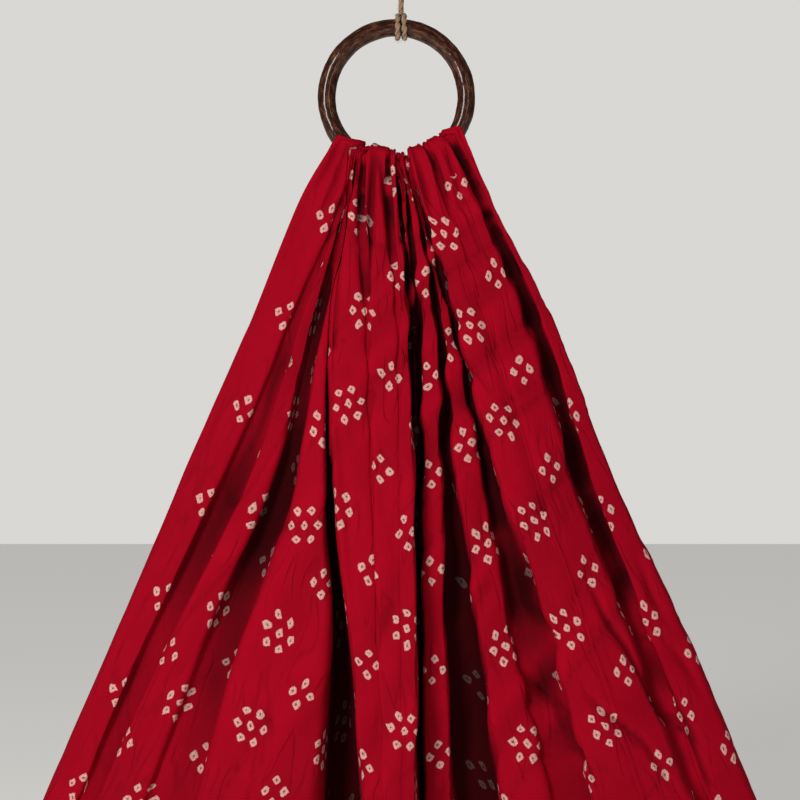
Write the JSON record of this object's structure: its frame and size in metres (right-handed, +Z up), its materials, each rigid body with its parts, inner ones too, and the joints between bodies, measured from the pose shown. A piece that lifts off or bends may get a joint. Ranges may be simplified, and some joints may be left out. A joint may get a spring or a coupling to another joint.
{
  "type": "draped bandhani cloth hung through a twig ring on a twine cord",
  "caption": "Tie-dyed cotton cloth threaded through a varnished bent-twig ring and hanging from it in uneven fanned folds, front and back, with the ring on a hitched twine cord that ends in an eye.",
  "frame": {"origin": "the inside top of the twine eye, where a hook or nail carries the whole piece", "axes": "+Z up along the hanging cloth, the front towards -Y, +X to the right as seen from the front, +Y through the ring from front to back"},
  "size_m": [0.5821, 0.1731, 0.7917],
  "materials": {
    "cloth": "matte crinkled cotton, dyed crimson with undyed tied dots",
    "twig": "dark brown mottled twig, glossy varnish",
    "twine": "two-ply jute twine, fuzzy"
  },
  "bodies": {
    "root": {"cloth": "cloth", "ring": "twig", "twine_hitch": "twine", "twine_leg_front": "twine", "twine_leg_back": "twine", "hang_eye": "twine"}
  },
  "joints": []
}
